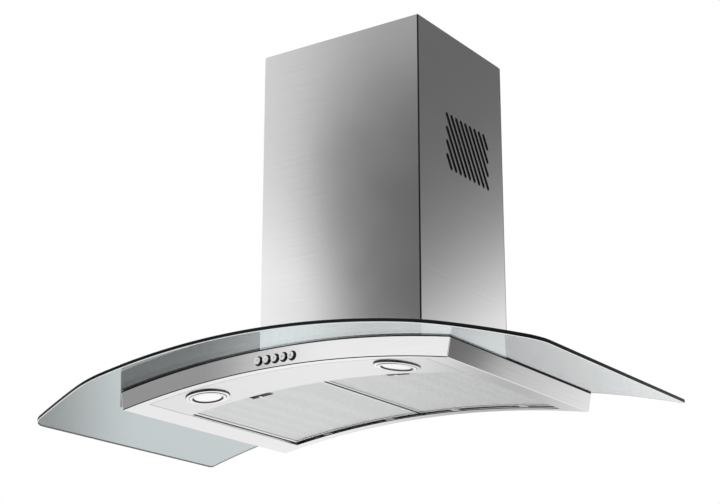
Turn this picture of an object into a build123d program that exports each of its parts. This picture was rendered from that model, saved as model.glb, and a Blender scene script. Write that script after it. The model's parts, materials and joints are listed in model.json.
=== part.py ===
from build123d import *

import os
from math import asin, cos, degrees, radians, sin, sqrt, tan

# Curved glass range hood, wall hung.
# Units are millimetres. +Z is up, +Y points into the wall, -Y faces the cook.
# The origin is the middle of the four wall fixing holes, on the wall.
# "Offset" always means a distance above the underside of the arched glass,
# measured square to the arch, so negative offsets lie in the steel body below.

# ---- glass canopy ----
glass_width = 900.0
glass_depth = 495.0
glass_front_bow = 8.0
glass_clip_width = 150.0
glass_clip_depth = 55.0
glass_bend_radius = 120.0
glass_front_corner = 20.0
glass_rear_corner = 6.0
glass_thickness = 6.0
arch_radius = 1600.0
glass_below_fixing = 140.0
notch_corner = 14.0

# ---- steel body under the glass ----
body_width = 590.0
body_depth = 412.0
body_bottom = -30.0
gasket_thickness = 2.0
gasket_width = 8.0
gasket_recess = 0.4
sheet = 1.0
fold_radius = 1.2
top_flange_width = 12.0
flange_front = 15.0
flange_rear = 19.0
aperture_width = 500.0
lip_height = 2.7
lower_fixing_spacing = 460.0
lower_fixing_radius = 3.0

# ---- light panel and lamps ----
panel_gap = 0.8
panel_rear = 300.0
panel_lip_height = 6.0
panel_hook_width = 6.0
lamp_spacing = 342.0
lamp_setback = 354.0
lamp_radius = 34.0
lamp_drop = 4.0
lamp_rim_width = 5.5
lamp_rim_rise = 1.5
lamp_bevel = 1.1
lamp_hole_radius = 27.0
lamp_hole_gap = 0.5
lamp_seat_gap = 0.5
lamp_sleeve_height = 6.0
lamp_wall = 1.5
lens_radius = 22.0
lens_side_gap = 0.5
lens_recess = 1.0
lens_dish = 0.4
lens_bevel = 2.0
lens_thickness = 2.2
cup_height = 20.0
cup_straight = 7.0
cup_narrowing = 12.0
cup_wall = 1.0
bulb_base_radius = 4.8
bulb_radius = 4.0
bulb_base_height = 5.5
bulb_stands_out = 1.5

# ---- grease filters ----
filter_recess = 3.0
filter_thickness = 9.0
filter_side_gap = 3.0
filter_front_gap = 3.0
filter_rear_gap = 5.5
filter_middle_gap = 3.0
filter_rim = 4.0
filter_sheet = 1.0
mesh_clearance = 0.5
hook_width = 15.0
hook_spacing = 124.0
hook_reach = 12.5

# ---- filter latches ----
latch_window_width = 35.0
latch_window_depth = 15.0
latch_case_height = 6.2
latch_case_wall = 0.8
latch_bolt_width = 12.0
latch_bolt_thickness = 1.4
latch_bolt_reach = 6.5
latch_grip_width = 5.0
latch_travel = 5.0
latch_end_gap = 1.2
latch_grip_drop = 1.5
latch_play = 0.3

# ---- push buttons ----
button_count = 5
button_pitch = 15.0
button_radius = 5.25
button_hole_radius = 5.75
button_stands_out = 5.0
button_travel = 3.0
button_drop = 17.0
stem_radius = 3.0
stem_length = 10.0
stem_clearance = 0.5
switch_depth = 24.0
switch_height = 17.0
switch_end = 12.0
switch_corner = 2.0
button_edge = 0.8

# ---- lamp transformer ----
transformer_size = (80.0, 42.0, 14.0)
transformer_setback = 356.0
small_corner = 3.0

# ---- suction box on the glass ----
box_side_room = 38.0
box_depth = 205.0
box_height = 230.0
box_sheet = 1.5
box_flange = 33.0
back_plate_height = 256.0
back_plate_side_gap = 3.0
box_notch_gap = 3.0
foot_overlap = 0.5
fixing_inset = 17.0
fixing_spacing_z = 120.0
fixing_radius = 4.0
clamp_screw_inset = 21.0
clamp_side_setbacks = (60.0, 150.0)
clamp_front_spacing = 120.0
clamp_screw_radius = 2.5
clamp_screw_play = 0.3
clamp_screw_end = 6.0
clamp_head_radius = 4.75
clamp_head_height = 3.0
clamp_head_edge = 1.2
nut_radius = 4.6
nut_height = 4.0
bush_radius = 4.7
glass_hole_radius = 5.0

# ---- blower ----
blower_setback = 101.0
blower_above_glass = 100.0
scroll_radius = 74.0
scroll_growth = 8.0
scroll_width = 100.0
scroll_wall = 2.5
tongue_radius = 8.0
inlet_radius = 50.0
inlet_flare = 10.0
inlet_wall = 1.5
fan_radius = 65.0
fan_length = 92.0
fan_ring_width = 8.0
fan_ring_thickness = 3.0
fan_disc_radius = 60.0
fan_disc_offset = 2.0
fan_disc_thickness = 2.0
blade_count = 36
blade_inset = 1.0
blade_depth = 11.0
blade_thickness = 1.2
blade_sweep = 12.0
blade_bend = 0.28
hub_radius = 9.0
hub_length = 18.0
shaft_radius = 4.0
shaft_play = 0.05
shaft_stands_out = 4.0
shaft_in_motor = 19.0
shaft_edge = 0.5
motor_radius = 38.0
motor_length = 52.0
motor_stands_out = 22.0
motor_nose_radius = 10.0
motor_nose_length = 5.0
bracket_ring_room = 3.0
bracket_ring_width = 7.0
bracket_foot_width = 2.0
bracket_plate = 2.5
bracket_arm_count = 3
bracket_arm_width = 10.0
bracket_arm_turn = 30.0

# ---- outlet with its non-return flaps ----
adapter_size = 160.0
adapter_height = 18.0
adapter_corner = 6.0
collar_setback = 125.0
collar_radius = 75.0
collar_length = 40.0
collar_wall = 1.5
flap_thickness = 1.2
flap_gap = 1.5
flap_height = 12.0
flap_pin_radius = 1.5
knuckle_radius = 3.0
knuckle_length = 20.0
knuckle_spacing = 72.0
knuckle_gap = 0.5
flap_pin_play = 0.05
knuckle_play = 0.08

# ---- mains terminals on top of the suction box ----
terminal_size = (60.0, 36.0, 26.0)
terminal_inset = 4.0
gland_bore = 4.0
gland_radius = 8.0
gland_height = 14.0
gland_hexagon = 5.0
gland_edge = 2.5
gland_entry = 8.0
terminal_edge = 1.0
capacitor_radius = 14.0
capacitor_length = 52.0
capacitor_inset = 8.0
capacitor_setback = 20.0

# ---- chimney covers ----
chimney_width = 300.0
chimney_depth = 255.0
chimney_top = 550.0
chimney_sheet = 1.0
chimney_return = 20.0
chimney_glass_gap = 0.3
upper_sheet = 0.8
upper_gap = 0.6
upper_length = 500.0
upper_stands_out = 2.0
vent_count = 12
vent_pitch = 14.1
vent_slope = 58.5
vent_slot_width = 4.4
vent_field_depth = 124.0
vent_field_height = 87.0
vent_setback = 111.0
vent_height = 363.8
vent_clear_width = 7.6
bracket_drop = 4.0
bracket_height = 30.0
bracket_sheet = 1.6
bracket_arm = 26.0
bracket_hole_spacing = 200.0
bracket_hole_radius = 3.0
bracket_boss_radius = 9.0

# ---- fits and cutting ----
seat_gap = 0.2
hair_gap = 0.1
past = 1.0

# ---- worked out once, used by many pieces ----
crown_z = -glass_below_fixing
arch_axis_z = crown_z - arch_radius
glass_top = glass_thickness
body_top = -gasket_thickness
seal_top = -hair_gap
body_angle = asin(body_width / 2 / arch_radius)
wall_angle = body_angle - sheet / arch_radius
plate_offset = body_top - sheet
aperture_half = aperture_width / 2
aperture_front = body_depth - flange_front
aperture_rear = flange_rear
lip_top = body_bottom + lip_height
filter_bottom = body_bottom + filter_recess
filter_top = filter_bottom + filter_thickness
filter_front = panel_rear - filter_front_gap
filter_rear = flange_rear + filter_rear_gap
filter_inner = filter_middle_gap / 2
filter_outer = aperture_half - filter_side_gap
filter_middle = (filter_inner + filter_outer) / 2
lamp_x = lamp_spacing / 2
box_width = chimney_width - 2 * box_side_room
fixing_spacing_x = box_width - 2 * fixing_inset
notch_half = box_width / 2 + box_notch_gap
notch_front = box_depth + box_notch_gap
flange_offset = glass_top + seat_gap
box_bottom_z = crown_z + glass_top
box_top_z = box_bottom_z + box_height
blower_z = crown_z + blower_above_glass
collar_top_z = box_top_z + adapter_height + collar_length
flap_z = box_top_z + adapter_height + flap_height
chimney_top_z = crown_z + chimney_top
button_z = crown_z - button_drop
latch_bolt_low = body_bottom + panel_lip_height + latch_play - filter_bottom
scroll_front = scroll_radius + 3 * scroll_growth
terminal_x = -box_width / 2 + terminal_size[0] / 2 + terminal_inset
terminal_setback = terminal_size[1] / 2 + terminal_inset
upper_half = chimney_width / 2 - chimney_sheet - upper_gap
upper_front = chimney_depth - chimney_sheet - upper_gap
upper_back = chimney_sheet + upper_gap
motor_end = -scroll_width / 2 - motor_stands_out + motor_length
far_below = 3 * body_bottom
side = {"left": -1, "right": 1}


# ---- helpers for the arch ----
def arch_height(offset, x):
    """Height of the surface that lies this offset from the glass, at x."""
    return arch_axis_z + sqrt((arch_radius + offset) ** 2 - x**2)


def arch_point(offset, angle):
    radius = arch_radius + offset
    return (radius * sin(angle), arch_axis_z + radius * cos(angle))


def arch_solid(low_left, low_right, high_left, high_right, low, high, front, back):
    """Extrudes the profile between two arcs of the arch, from front to back."""
    low_mid = (low_left[0] + low_right[0]) / 2
    high_mid = (high_left[0] + high_right[0]) / 2
    outline = Curve() + [
        ThreePointArc(low_left, (low_mid, arch_height(low, low_mid)), low_right),
        Line(low_right, high_right),
        ThreePointArc(high_right, (high_mid, arch_height(high, high_mid)), high_left),
        Line(high_left, low_left),
    ]
    plane = Plane(origin=(0, -back, 0), x_dir=(1, 0, 0), z_dir=(0, -1, 0))
    return extrude(plane * make_face(outline), amount=front - back)


def arch_plate(low, high, left, right, front, back):
    """Arched plate with upright ends. Front and back are distances from the wall."""
    return arch_solid(
        (left, arch_height(low, left)),
        (right, arch_height(low, right)),
        (left, arch_height(high, left)),
        (right, arch_height(high, right)),
        low,
        high,
        front,
        back,
    )


def arch_band(low, high, angle, front, back):
    """Arched plate whose two ends are square to the arch."""
    return arch_solid(
        arch_point(low, -angle),
        arch_point(low, angle),
        arch_point(high, -angle),
        arch_point(high, angle),
        low,
        high,
        front,
        back,
    )


def on_arch(offset, x, setback):
    """Place on the arch, with local Z square to it and local X along it."""
    angle = asin(x / (arch_radius + offset))
    return Pos(x, -setback, arch_height(offset, x)) * Rot(0, degrees(angle), 0)


def block(left, right, front, back, low, high):
    """Box between two values on each axis; front and back are distances from the wall."""
    size = (right - left, front - back, high - low)
    middle = ((left + right) / 2, -(front + back) / 2, (low + high) / 2)
    return Pos(*middle) * Box(*size)


def rod_x(radius, left, right, setback, height):
    """Round bar along X."""
    return Pos((left + right) / 2, -setback, height) * Rot(0, 90, 0) * Cylinder(radius, right - left)


def rod_y(radius, x, front, back, height):
    """Round bar along Y."""
    return Pos(x, -(front + back) / 2, height) * Rot(90, 0, 0) * Cylinder(radius, front - back)


def upright(radius, low, high):
    """Round bar along local Z."""
    return Pos(0, 0, (low + high) / 2) * Cylinder(radius, high - low)


def tube(outer, inner, low, high):
    """Ring along local Z."""
    return upright(outer, low, high) - upright(inner, low - past, high + past)


def lathe(points):
    """Turns a closed outline of radius and height points about local Z."""
    return revolve(Plane.XZ * make_face(Polyline(*points, close=True)), Axis.Z)


def only_solid(shape):
    """The one solid of a boolean's result."""
    solids = shape.solids()
    if len(solids) != 1:
        raise ValueError(f"expected one solid, found {len(solids)}")
    return solids[0]


# ---- glass ----
def clamp_points():
    """Where the screws clamp the suction box, the glass and the body together."""
    side_x = box_width / 2 + clamp_screw_inset
    points = [(s * side_x, setback) for s in (-1, 1) for setback in clamp_side_setbacks]
    front = box_depth + clamp_screw_inset
    return points + [(s * clamp_front_spacing / 2, front) for s in (-1, 1)]


def clamp_holes(radius, low, high):
    return [on_arch(0, x, setback) * upright(radius, low, high) for x, setback in clamp_points()]


def glass_outline():
    """The glass seen from above, with its front corners clipped at a slant."""
    half = glass_width / 2
    bend = half - glass_clip_width
    bend_depth = glass_depth - glass_front_bow
    side_depth = bend_depth - glass_clip_depth
    outline = Curve() + [
        Line((half, 0), (-half, 0)),
        Line((-half, 0), (-half, -side_depth)),
        Line((-half, -side_depth), (-bend, -bend_depth)),
        ThreePointArc((-bend, -bend_depth), (0, -glass_depth), (bend, -bend_depth)),
        Line((bend, -bend_depth), (half, -side_depth)),
        Line((half, -side_depth), (half, 0)),
    ]
    sheet_face = make_face(outline)
    sheet_face = fillet(sheet_face.vertices().group_by(Axis.Y)[1], glass_front_corner)
    sheet_face = fillet(sheet_face.vertices().group_by(Axis.Y)[0], glass_bend_radius)
    return fillet(sheet_face.vertices().group_by(Axis.Y)[-1], glass_rear_corner)


def notch_outline():
    """Rear notch of the glass, where the air and the suction box pass."""
    notch = Rectangle(2 * notch_half, notch_front + 2 * notch_corner)
    notch = fillet(notch.vertices(), notch_corner)
    return Pos(0, -notch_front / 2 + notch_corner) * notch


def glass_canopy():
    span = glass_width / 2 + past
    depth = glass_depth + past
    arch = arch_plate(0, glass_thickness, -span, span, depth, -past)
    outline = glass_outline() - notch_outline()
    canopy = arch & extrude(Pos(0, 0, crown_z - arch_radius / 4) * outline, amount=arch_radius / 2)
    canopy = canopy - clamp_holes(glass_hole_radius, -past, glass_thickness + past)
    return only_solid(canopy)


# ---- steel body ----
def body_folds(band):
    """The edges of the body that are folded: the lower ones and the two at the front's ends."""
    lines = band.edges().filter_by(GeomType.LINE)
    along = lines.filter_by(Axis.Y).sort_by(Axis.Z)[:2]
    ends = lines.group_by(Axis.Y)[0]
    arcs = band.edges().filter_by(GeomType.CIRCLE).group_by(Axis.Y)[0]
    return along + ends + arcs.sort_by(Axis.Z)[:1]


def body_shell():
    outer = arch_band(body_bottom, body_top, body_angle, body_depth, 0)
    outer = fillet(body_folds(outer), fold_radius)
    inner = arch_band(body_bottom + sheet, body_top + past, wall_angle, body_depth - sheet, -past)
    shell = outer - inner
    rim_angle = body_angle - top_flange_width / arch_radius
    rim = arch_band(plate_offset, body_top, body_angle, body_depth, 0)
    rim = rim - arch_band(
        plate_offset - past, body_top + past, rim_angle, body_depth - top_flange_width, -past
    )
    hole = arch_plate(
        body_bottom - past, lip_top + past, -aperture_half, aperture_half, aperture_front, aperture_rear
    )
    lip = arch_plate(
        body_bottom,
        lip_top,
        -aperture_half - sheet,
        aperture_half + sheet,
        aperture_front + sheet,
        aperture_rear - sheet,
    )
    button_holes = [
        rod_y(button_hole_radius, x, body_depth + past, body_depth - sheet - past, button_z)
        for x in button_places()
    ]
    return only_solid(shell + rim + lip - hole - button_holes)


def top_plate():
    angle = wall_angle - seat_gap / arch_radius
    plate = arch_band(plate_offset - sheet, plate_offset, angle, body_depth - 2 * sheet, 2 * sheet)
    throat = block(-box_width / 2, box_width / 2, box_depth, 0, crown_z + body_bottom, crown_z)
    holes = clamp_holes(
        clamp_screw_radius + clamp_screw_play, plate_offset - sheet - past, plate_offset + past
    )
    return only_solid(plate - throat - holes)


def rear_plate():
    angle = wall_angle - seat_gap / arch_radius
    plate = arch_band(body_bottom + sheet, plate_offset, angle, sheet, 0)
    height = arch_height((body_bottom + body_top) / 2, lower_fixing_spacing / 2)
    holes = [
        rod_y(lower_fixing_radius, s * lower_fixing_spacing / 2, sheet + past, -past, height)
        for s in (-1, 1)
    ]
    return only_solid(plate - holes)


def glass_gasket():
    """Black strip between the steel and the glass, along the front and both sides."""
    outer_angle = body_angle - gasket_recess / arch_radius
    inner_angle = outer_angle - gasket_width / arch_radius
    front = body_depth - gasket_recess
    strip = arch_band(body_top, seal_top, outer_angle, front, 0)
    room = arch_band(body_top - past, past, inner_angle, front - gasket_width, -past)
    return only_solid(strip - room)


def throat_seal():
    """Rubber seal between the top plate and the glass, round the air passage."""
    outer_half = box_width / 2 + box_flange
    seal = arch_plate(plate_offset, seal_top, -outer_half, outer_half, box_depth + box_flange, 2 * sheet)
    throat = block(-notch_half, notch_half, notch_front, 0, crown_z + body_bottom, crown_z + past)
    holes = clamp_holes(clamp_screw_radius + clamp_screw_play, plate_offset - past, past)
    return only_solid(seal - throat - holes)


# ---- light panel and lamps ----
def light_panel():
    half = aperture_half - panel_gap
    front = aperture_front - panel_gap
    hook_low = lip_top + seat_gap
    hook_high = hook_low + sheet
    skin = arch_plate(body_bottom, body_bottom + sheet, -half, half, front, panel_rear)
    upstand = arch_plate(body_bottom, hook_high, -half, half, front, panel_rear)
    room = arch_plate(
        body_bottom - past, hook_high + past, -half + sheet, half - sheet, front - sheet, panel_rear - past
    )
    hook = arch_plate(
        hook_low,
        hook_high,
        -half - panel_hook_width,
        half + panel_hook_width,
        front + panel_hook_width,
        panel_rear,
    )
    lip = arch_plate(
        body_bottom, body_bottom + panel_lip_height, -half, half, panel_rear + sheet, panel_rear
    )
    holes = [
        on_arch(body_bottom, s * lamp_x, lamp_setback) * upright(lamp_hole_radius, -past, sheet + past)
        for s in (-1, 1)
    ]
    return only_solid(skin + (upstand + hook - room) + lip - holes)


def lamp_bezel():
    """Stepped trim: a ring round the lens, a higher rim, and a sleeve through the panel."""
    ring = lens_radius + lens_side_gap
    step = lamp_radius - lamp_rim_width
    sleeve = lamp_hole_radius - lamp_hole_gap
    rim_low = lamp_rim_rise - lamp_drop
    return lathe(
        [
            (ring, lamp_bevel - lamp_drop),
            (ring + lamp_bevel, -lamp_drop),
            (step - lamp_bevel, -lamp_drop),
            (step, lamp_bevel - lamp_drop),
            (lamp_radius - lamp_bevel, rim_low),
            (lamp_radius, rim_low + lamp_bevel),
            (lamp_radius, -lamp_seat_gap),
            (sleeve, -lamp_seat_gap),
            (sleeve, lamp_sleeve_height),
            (sleeve - lamp_wall, lamp_sleeve_height),
            (sleeve - lamp_wall, seat_gap),
            (ring, seat_gap),
        ]
    )


def lamp_lens():
    """Frosted lens with a slightly domed face."""
    low = lens_recess - lamp_drop
    return lathe(
        [
            (0, low),
            (lens_radius - lens_bevel, low + lens_dish),
            (lens_radius, low + 3 * lens_dish),
            (lens_radius, low + lens_thickness + lens_dish),
            (0, low + lens_thickness),
        ]
    )


def lamp_reflector():
    """Thin cup over the lens, with a hole for the bulb."""
    radius = lamp_hole_radius - lamp_hole_gap - lamp_wall - lens_side_gap
    top = radius - cup_narrowing
    mouth = lamp_sleeve_height / 2
    return lathe(
        [
            (radius - cup_wall, mouth),
            (radius, mouth),
            (radius, cup_straight),
            (top, cup_height),
            (bulb_base_radius + seat_gap, cup_height),
            (bulb_base_radius + seat_gap, cup_height - cup_wall),
            (top - cup_wall / 2, cup_height - cup_wall),
            (radius - cup_wall, cup_straight - cup_wall / 2),
        ]
    )


def lamp_bulb():
    neck = cup_height + bulb_stands_out - bulb_base_height
    bulb = upright(bulb_radius, cup_straight, neck) + upright(bulb_base_radius, neck, neck + bulb_base_height)
    return fillet(bulb.edges().group_by(Axis.Z)[0], bulb_radius * 3 / 4)


# ---- grease filters ----
def filter_span(s):
    """Left and right limits of a filter."""
    return sorted((s * filter_inner, s * filter_outer))


def latch_place(s):
    return on_arch(filter_bottom, s * filter_middle, filter_front - filter_rim)


def latch_block(half_width, front, back, low, high):
    """Box in a latch's own place: Y counts back from the filter's front rim."""
    return Pos(0, (front + back) / 2, (low + high) / 2) * Box(2 * half_width, back - front, high - low)


def latch_slot():
    """Way through the frame and the case for the bolt."""
    half = latch_bolt_width / 2 + latch_play
    low = latch_bolt_low - latch_play
    high = latch_bolt_low + latch_bolt_thickness + latch_play
    return latch_block(half, -filter_rim - past, latch_case_wall + past, low, high)


def latch_well():
    """Notch for the latch case in the front of the mesh."""
    half = latch_window_width / 2 + latch_case_wall + seat_gap
    back = latch_window_depth + latch_case_wall + seat_gap
    return latch_block(half, -filter_rim - past, back, -past, filter_thickness + past)


def filter_frame(s):
    """Folded channel all round the filter, with two hooks at the rear."""
    left, right = filter_span(s)
    channel = arch_plate(filter_bottom, filter_top, left, right, filter_front, filter_rear)
    channel = channel - arch_plate(
        filter_bottom + filter_sheet,
        filter_top - filter_sheet,
        left + filter_sheet,
        right - filter_sheet,
        filter_front - filter_sheet,
        filter_rear + filter_sheet,
    )
    channel = channel - arch_plate(
        filter_bottom - past,
        filter_top + past,
        left + filter_rim,
        right - filter_rim,
        filter_front - filter_rim,
        filter_rear + filter_rim,
    )
    hooks = []
    for hook_x in (s * filter_middle - hook_spacing / 2, s * filter_middle + hook_spacing / 2):
        hooks.append(
            arch_plate(
                filter_bottom,
                filter_bottom + filter_sheet,
                hook_x - hook_width / 2,
                hook_x + hook_width / 2,
                filter_rear + filter_sheet / 2,
                filter_rear - hook_reach,
            )
        )
    return only_solid(channel + hooks - latch_place(s) * latch_slot())


def filter_mesh(s):
    """Pack of expanded aluminium that fills the frame."""
    left, right = filter_span(s)
    edge = filter_sheet + mesh_clearance
    pack = arch_plate(
        filter_bottom + edge,
        filter_top - edge,
        left + edge,
        right - edge,
        filter_front - edge,
        filter_rear + edge,
    )
    return only_solid(pack - latch_place(s) * latch_well())


def latch_case(s):
    """Pressed tray that holds the latch, open below for the finger."""
    half = latch_window_width / 2
    wall = latch_case_wall
    tray = latch_block(half + wall, 0, latch_window_depth + wall, seat_gap, latch_case_height)
    tray = tray - latch_block(half, wall, latch_window_depth, 0, latch_case_height - wall)
    return only_solid(latch_place(s) * (tray - latch_slot()))


def filter_latch(s):
    """Sliding bolt with its finger grip, drawn back; pushed forward it lies over the panel's lip."""
    front = latch_travel - filter_rim - latch_bolt_reach
    back = latch_window_depth - latch_end_gap
    low = latch_bolt_low
    bolt = latch_block(latch_bolt_width / 2, front, back, low, low + latch_bolt_thickness)
    grip_front = latch_travel + latch_case_wall + latch_end_gap / 2
    grip = latch_block(latch_grip_width / 2, grip_front, back, -latch_grip_drop, low + latch_play)
    return only_solid(latch_place(s) * (bolt + grip))


# ---- push buttons ----
def button_places():
    first = -(button_count - 1) / 2 * button_pitch
    return [first + i * button_pitch for i in range(button_count)]


def push_button(x):
    """Round button: the cap shows in front, the stem runs in the switch block."""
    cap_front = body_depth + button_stands_out
    cap_back = body_depth - sheet - button_travel
    cap = rod_y(button_radius, x, cap_front, cap_back, button_z)
    cap = fillet(cap.edges().group_by(Axis.Y)[0], button_edge)
    return only_solid(cap + rod_y(stem_radius, x, cap_back, cap_back - stem_length, button_z))


def switch_block():
    """Moulded block of five push switches behind the front panel."""
    front = body_depth - sheet - seat_gap
    half = (button_count - 1) / 2 * button_pitch + switch_end
    low = button_z - switch_height / 2
    case = block(-half, half, front, front - switch_depth, low, low + switch_height)
    case = fillet(case.edges().filter_by(Axis.Y), switch_corner)
    cap_room = body_depth - sheet - 2 * button_travel - past
    stem_room = cap_room - stem_length - button_travel
    bores = []
    for x in button_places():
        bores.append(rod_y(button_hole_radius, x, front + past, cap_room, button_z))
        bores.append(rod_y(stem_radius + stem_clearance, x, front, stem_room, button_z))
    return only_solid(case - bores)


# ---- lamp transformer ----
def lamp_transformer():
    length, depth, height = transformer_size
    top = arch_height(plate_offset - sheet, length / 2) - seat_gap
    case = Pos(0, -transformer_setback, top - height / 2) * Box(length, depth, height)
    return only_solid(fillet(case.edges().filter_by(Axis.Z), small_corner))


# ---- suction box and what clamps it ----
def suction_box():
    """Open sheet box on an arched foot, with a back wall that goes on down and up behind the vents."""
    half = box_width / 2
    low = crown_z + body_bottom
    case = block(-half, half, box_depth, 0, low, box_top_z)
    room = block(
        -half + box_sheet,
        half - box_sheet,
        box_depth - box_sheet,
        box_sheet,
        low - past,
        box_top_z - box_sheet,
    )
    case = case - room
    case = case - arch_plate(far_below, flange_offset, -box_width, box_width, body_depth, box_sheet)
    case = case - arch_plate(far_below, plate_offset, -box_width, box_width, box_sheet, -past)
    plate_half = chimney_width / 2 - chimney_return - back_plate_side_gap
    back_plate = block(
        -plate_half, plate_half, box_sheet, 0, box_top_z - box_sheet, box_top_z + back_plate_height
    )
    outer = half + box_flange
    foot = arch_plate(
        flange_offset,
        flange_offset + box_sheet,
        -outer,
        outer,
        box_depth + box_flange,
        chimney_sheet + seat_gap,
    )
    inner = half - foot_overlap
    foot = foot - block(-inner, inner, box_depth - foot_overlap, -past, low, box_top_z)
    outlet = block(
        -scroll_width / 2,
        scroll_width / 2,
        blower_setback + scroll_front,
        blower_setback + tongue_radius,
        box_top_z - box_sheet - past,
        box_top_z + past,
    )
    fixing_holes = [
        rod_y(fixing_radius, x * fixing_spacing_x / 2, box_sheet + past, -past, z * fixing_spacing_z / 2)
        for x in (-1, 1)
        for z in (-1, 1)
    ]
    holes = clamp_holes(
        clamp_screw_radius + clamp_screw_play, glass_top - past, flange_offset + box_sheet + past
    )
    return only_solid(case + back_plate + foot - outlet - fixing_holes - holes)


def clamp_screws():
    """Pan head screws from the foot of the suction box down through the top plate."""
    head_low = flange_offset + box_sheet + hair_gap
    screw = upright(clamp_head_radius, head_low, head_low + clamp_head_height)
    screw = fillet(screw.edges().group_by(Axis.Z)[-1], clamp_head_edge)
    screw = screw + upright(clamp_screw_radius, plate_offset - sheet - clamp_screw_end, head_low)
    return [on_arch(0, x, setback) * screw for x, setback in clamp_points()]


def clamp_nuts():
    top = plate_offset - sheet - hair_gap
    nut = extrude(Pos(0, 0, top - nut_height) * RegularPolygon(nut_radius, 6), amount=nut_height)
    nut = nut - upright(clamp_screw_radius + hair_gap / 2, top - nut_height - past, top + past)
    return [on_arch(0, x, setback) * nut for x, setback in clamp_points()]


def glass_bushes():
    """Rubber sleeves that keep the screws off the glass."""
    sleeve = tube(bush_radius, clamp_screw_radius + seat_gap, hair_gap, glass_thickness - hair_gap)
    return [on_arch(0, x, setback) * sleeve for x, setback in clamp_points()]


# ---- blower ----
scroll_plane = Plane(origin=(0, -blower_setback, blower_z), x_dir=(0, 1, 0), z_dir=(1, 0, 0))


def scroll_outline(top):
    """Inside of the scroll: three widening quarter turns, then straight up the throat."""
    first = scroll_radius
    second = first + scroll_growth
    third = second + scroll_growth
    shift = -scroll_growth
    slope = sin(radians(45))
    curves = [
        Line((-scroll_front, top), (-scroll_front, scroll_growth)),
        ThreePointArc(
            (-scroll_front, scroll_growth),
            (shift - third * slope, scroll_growth - third * slope),
            (shift, -second),
        ),
        ThreePointArc((shift, -second), (shift + second * slope, -second * slope), (first, 0)),
        ThreePointArc((first, 0), (first * slope, first * slope), (0, first)),
        ThreePointArc(
            (0, first),
            (-tongue_radius * slope, first + tongue_radius * (1 - slope)),
            (-tongue_radius, first + tongue_radius),
        ),
        Line((-tongue_radius, first + tongue_radius), (-tongue_radius, top)),
        Line((-tongue_radius, top), (-scroll_front, top)),
    ]
    return make_face(Curve() + curves)


def scroll_skin():
    """Outside of the scroll."""
    top = box_top_z - box_sheet - blower_z - seat_gap
    return offset(scroll_outline(top - scroll_wall), amount=scroll_wall, kind=Kind.INTERSECTION)


def scroll_band():
    """Rolled sheet of the scroll, between the cheeks and open at the top of the throat."""
    throat_top = box_top_z - blower_z + past
    half = scroll_width / 2 - scroll_wall
    band = extrude(scroll_plane * scroll_skin(), amount=half, both=True)
    room = extrude(scroll_plane * scroll_outline(throat_top), amount=half + past, both=True)
    return only_solid(band - room)


def at_cheek(s):
    """Place on one cheek of the scroll, with local Z pointing out along the fan's axis."""
    return Pos(s * scroll_width / 2, -blower_setback, blower_z) * Rot(0, 90 * s, 0)


def scroll_cheek(s):
    """Flat side of the scroll with its round inlet."""
    cheek = extrude(scroll_plane * scroll_skin(), amount=s * scroll_wall)
    cheek = Pos(s * (scroll_width / 2 - scroll_wall), 0, 0) * cheek
    return only_solid(cheek - at_cheek(s) * upright(inlet_radius, -scroll_wall - past, past))


def inlet_ring(s):
    """Rounded mouth that leads the air into the fan."""
    inner = inlet_radius - inlet_wall
    bend = inlet_flare * sin(radians(45))
    outer = inlet_radius + inlet_flare
    outline = Curve() + [
        ThreePointArc((inner, 0), (inner + inlet_flare - bend, bend), (inner + inlet_flare, inlet_flare)),
        Line((inner + inlet_flare, inlet_flare), (outer, inlet_flare)),
        Line((outer, inlet_flare), (outer, hair_gap)),
        Line((outer, hair_gap), (inlet_radius, hair_gap)),
        Line((inlet_radius, hair_gap), (inlet_radius, 0)),
        Line((inlet_radius, 0), (inner, 0)),
    ]
    return only_solid(at_cheek(s) * revolve(Plane.XZ * make_face(outline), Axis.Z))


def polar(radius, angle):
    return (radius * cos(radians(angle)), radius * sin(radians(angle)))


def blade_outline():
    """One forward-curved blade, cut square to the fan's axis."""
    outer = fan_radius - blade_inset
    inner = outer - blade_depth
    middle = (inner + outer) / 2
    bend = blade_sweep * blade_bend
    spread = degrees(blade_thickness / outer)
    edges = [
        ThreePointArc(polar(inner, 0), polar(middle, bend), polar(outer, blade_sweep)),
        Line(polar(outer, blade_sweep), polar(outer, blade_sweep + spread)),
        ThreePointArc(
            polar(outer, blade_sweep + spread), polar(middle, bend + spread), polar(inner, spread)
        ),
        Line(polar(inner, spread), polar(inner, 0)),
    ]
    return make_face(Curve() + edges)


def blade_set():
    """All the blades of the squirrel cage, about local Z."""
    half = fan_length / 2 - fan_ring_thickness
    blade = extrude(Pos(0, 0, -half) * blade_outline(), amount=2 * half)
    return [Rot(0, 0, i * 360 / blade_count) * blade for i in range(blade_count)]


def on_fan(piece):
    """Moves a piece of the fan from local Z to the fan's own axis."""
    return Pos(0, -blower_setback, blower_z) * Rot(0, 90, 0) * piece


def fan_blades():
    return [on_fan(blade) for blade in blade_set()]


def fan_ring(s):
    """End ring that holds the blades."""
    ends = sorted((s * fan_length / 2, s * (fan_length / 2 - fan_ring_thickness)))
    return only_solid(on_fan(tube(fan_radius, fan_radius - fan_ring_width, *ends)))


def fan_disc():
    """Middle disc with its hub, slotted for the blades."""
    low = fan_disc_offset
    disc = upright(fan_disc_radius, low, low + fan_disc_thickness) - blade_set()
    disc = disc + upright(hub_radius, low, low + hub_length)
    return only_solid(on_fan(disc - upright(shaft_radius + shaft_play, low - past, low + hub_length + past)))


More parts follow.
